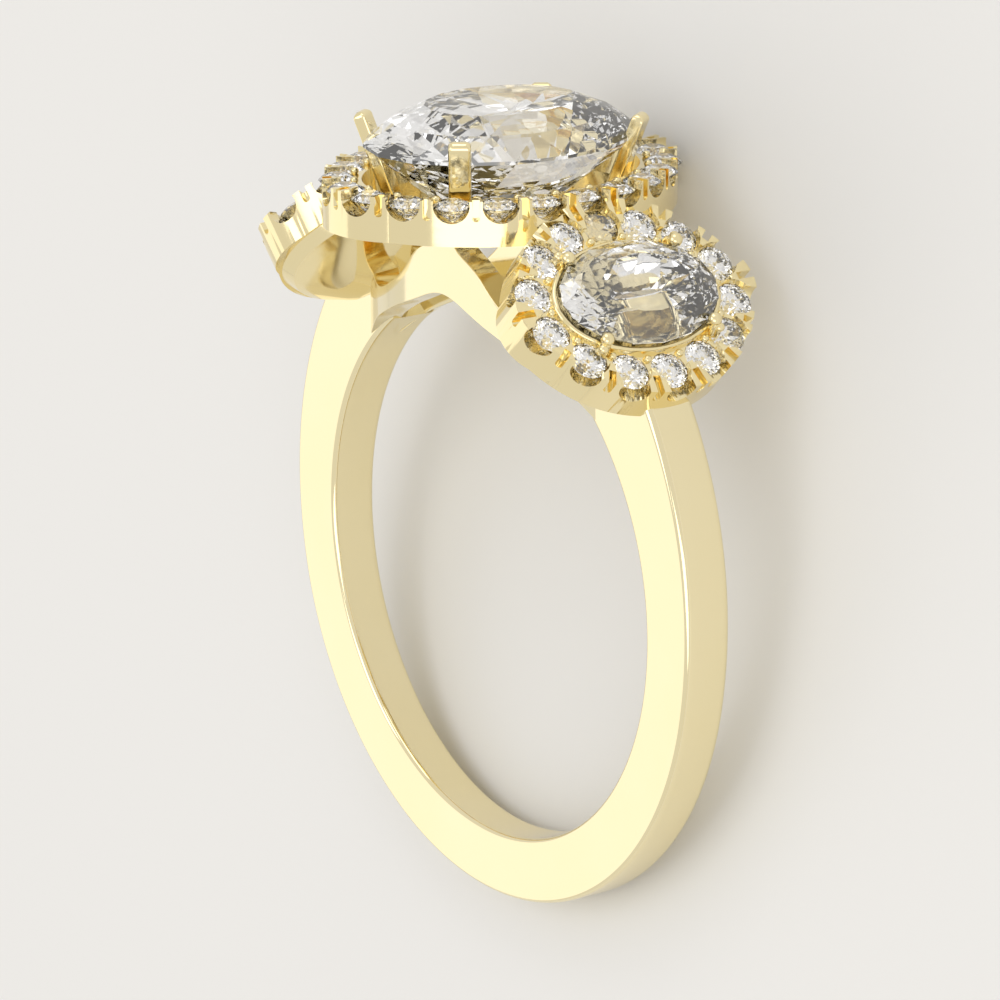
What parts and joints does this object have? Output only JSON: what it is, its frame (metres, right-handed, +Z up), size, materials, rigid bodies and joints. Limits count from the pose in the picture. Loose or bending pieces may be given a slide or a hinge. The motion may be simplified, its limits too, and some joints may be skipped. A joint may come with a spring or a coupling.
{
  "type": "three stone ring",
  "caption": "Yellow gold ring with an oval centre stone and oval side stones, each in a lobed halo of small round stones, on a plain bevelled band.",
  "frame": {"origin": "centre of the finger bore, on its axis", "axes": "+Z up from the surface that the ring lies on, +Y across the surface towards the centre stone's head, +X across the ring"},
  "size_m": [0.0216, 0.0258, 0.0122],
  "materials": {
    "gold": "high polish pale yellow gold",
    "clear_stone": "polished facets of a colourless cut stone"
  },
  "bodies": {
    "root": {"ring_mount": "gold", "centre_stone": "clear_stone", "side_stone_left": "clear_stone", "side_stone_right": "clear_stone", "centre_halo_stones": "clear_stone", "left_halo_stones": "clear_stone", "right_halo_stones": "clear_stone"}
  },
  "joints": []
}
